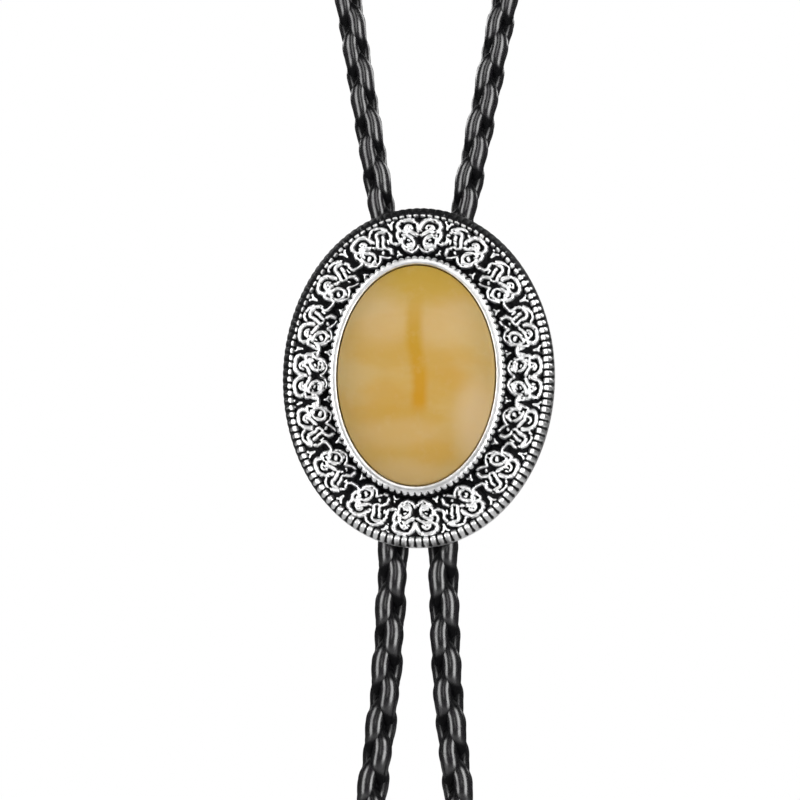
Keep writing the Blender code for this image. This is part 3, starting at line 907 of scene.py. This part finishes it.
def studio_paper():
    """Pale grey paper, which the camera sees as evenly white."""
    material, tree, shader = new_material("studio_paper")
    tone = noise(tree, position(tree), scale=30)
    tree.links.new(mix_colour(tree, tone, (0.5, 0.5, 0.5), (0.55, 0.55, 0.55)), shader.inputs["Base Color"])
    shader.inputs["Roughness"].default_value = 0.9
    shader.inputs["Emission Color"].default_value = (1, 1, 1, 1)
    seen = tree.nodes.new("ShaderNodeLightPath").outputs["Is Camera Ray"]
    tree.links.new(ramp(tree, seen, 0.0, 1.0, 0.01, WHITE), shader.inputs["Emission Strength"])
    return material


def add_stage():
    """A wide pale floor below the tips."""
    floor_z = cad_box[0][2] - FLOOR_GAP
    sides = (-FLOOR_HALF, FLOOR_HALF)
    points = np.array([(x, y, floor_z) for y in sides for x in sides])
    mesh_piece("studio_floor", points, [(0, 1, 3, 2)], studio_paper())


def add_light(name, place, size, power, aim):
    """A soft rectangular light, with its width, height and power, aimed at a point."""
    data = bpy.data.lights.new(name, "AREA")
    data.shape = "RECTANGLE"
    data.size, data.size_y = size
    data.energy = power
    light = bpy.data.objects.new(name, data)
    light.location = place
    light.rotation_euler = (Vector(aim) - Vector(place)).to_track_quat("-Z", "Y").to_euler()
    bpy.context.scene.collection.objects.link(light)


def add_lights(target):
    """Tall strips at both sides and high in front, a wide light low in front and two weak ones behind."""
    x, y, z = target
    add_light("strip_left", (x - 0.42, y - 0.36, z - 0.02), (0.26, 1.1), 5.0, target)
    add_light("strip_right", (x + 0.42, y - 0.40, z - 0.02), (0.28, 1.1), 6.8, target)
    add_light("low_front", (x + 0.14, y - 0.34, z - 0.36), (0.6, 0.3), 6.5, target)
    add_light("strip_high", (x, y - 0.40, z + 0.26), (0.1, 0.5), 0.45, target)
    for side, way in (("left", -1), ("right", 1)):
        add_light(f"rear_{side}", (x + way * 0.5, y + 0.5, z + 0.45), (0.5, 0.5), 2.6, (x, y, z + 0.08))


def add_surroundings():
    """Light that fades from below upwards, and plain white where the camera looks past the object."""
    world = bpy.data.worlds.new("studio")
    bpy.context.scene.world = world
    world.use_nodes = True
    tree = world.node_tree
    height = tree.nodes.new("ShaderNodeSeparateXYZ")
    tree.links.new(tree.nodes.new("ShaderNodeTexCoord").outputs["Generated"], height.inputs[0])
    background = tree.nodes["Background"]
    background.inputs["Color"].default_value = (1, 1, 1, 1)
    glow = ramp(tree, height.outputs["Z"], -0.5, 0.05, 0.65, 0.04)
    seen = node(tree, "ShaderNodeMix", data_type="FLOAT")
    tree.links.new(tree.nodes.new("ShaderNodeLightPath").outputs["Is Camera Ray"], seen.inputs[0])
    tree.links.new(glow, seen.inputs[2])
    seen.inputs[3].default_value = WHITE
    tree.links.new(seen.outputs[0], background.inputs["Strength"])


CAMERA_AZIMUTH, CAMERA_ELEVATION, CAMERA_ROLL = 5.0, -5.0, 0.75
CAMERA_DISTANCE = 0.46                       # metres
VIEW_WIDTH = 116.8                           # millimetres across the frame at the slide
CAMERA_SHIFT = (-0.0218, -0.0295)            # share of the frame that the slide is off its middle
SENSOR_WIDTH = 36                            # millimetres


def add_camera(target):
    """The camera at its distance from the target, turned a little to one side and from slightly below."""
    data = bpy.data.cameras.new("camera")
    data.sensor_width = SENSOR_WIDTH
    data.lens = SENSOR_WIDTH * CAMERA_DISTANCE / (VIEW_WIDTH * MM)
    camera = bpy.data.objects.new("camera", data)
    azimuth, elevation = math.radians(CAMERA_AZIMUTH), math.radians(CAMERA_ELEVATION)
    away = Vector((math.sin(azimuth) * math.cos(elevation), -math.cos(azimuth) * math.cos(elevation),
                   math.sin(elevation)))
    camera.location = Vector(target) + away * CAMERA_DISTANCE
    camera.rotation_euler = (-away).to_track_quat("-Z", "Y").to_euler()
    camera.rotation_euler.rotate_axis("Z", math.radians(CAMERA_ROLL))
    data.shift_x, data.shift_y = CAMERA_SHIFT
    bpy.context.scene.collection.objects.link(camera)
    bpy.context.scene.camera = camera


# ---------------------------------------------------------------- make everything
target = slide_point(0.0, -2.5, 0.0)
add_camera(target)
leather = braided_leather(leather_grain_group())
tails = add_cords(leather)
metal_group = worn_metal_group()
tip_metal = plain_metal("tip_metal", metal_group, bright=(0.82, 0.82, 0.81), dull=(0.66, 0.66, 0.66),
                        polish=0.12, scuffs=0.14)
for side, (piece, path) in tails.items():
    tip = add_tip(side, path, tip_metal)
    exit_point = path[np.abs(path[:, 2] - (CENTRE_Z - CLIP_HALF) * MM).argmin()]

silver = antique_silver(metal_group)
for casting in (add_reeded_body(silver), add_rose_border(silver), add_toothed_bezel(silver)):
    keep(casting, "antique_silver", "slide_plate")
add_stone(honey_stone())
add_clip(plain_metal("clip_metal", metal_group, bright=(0.7, 0.7, 0.69), dull=(0.5, 0.5, 0.5),
                     polish=0.3, scuffs=0.2, brushed=0.6))

add_stage()
add_lights(target)
add_surroundings()
bpy.context.scene.view_settings.view_transform = "Standard"
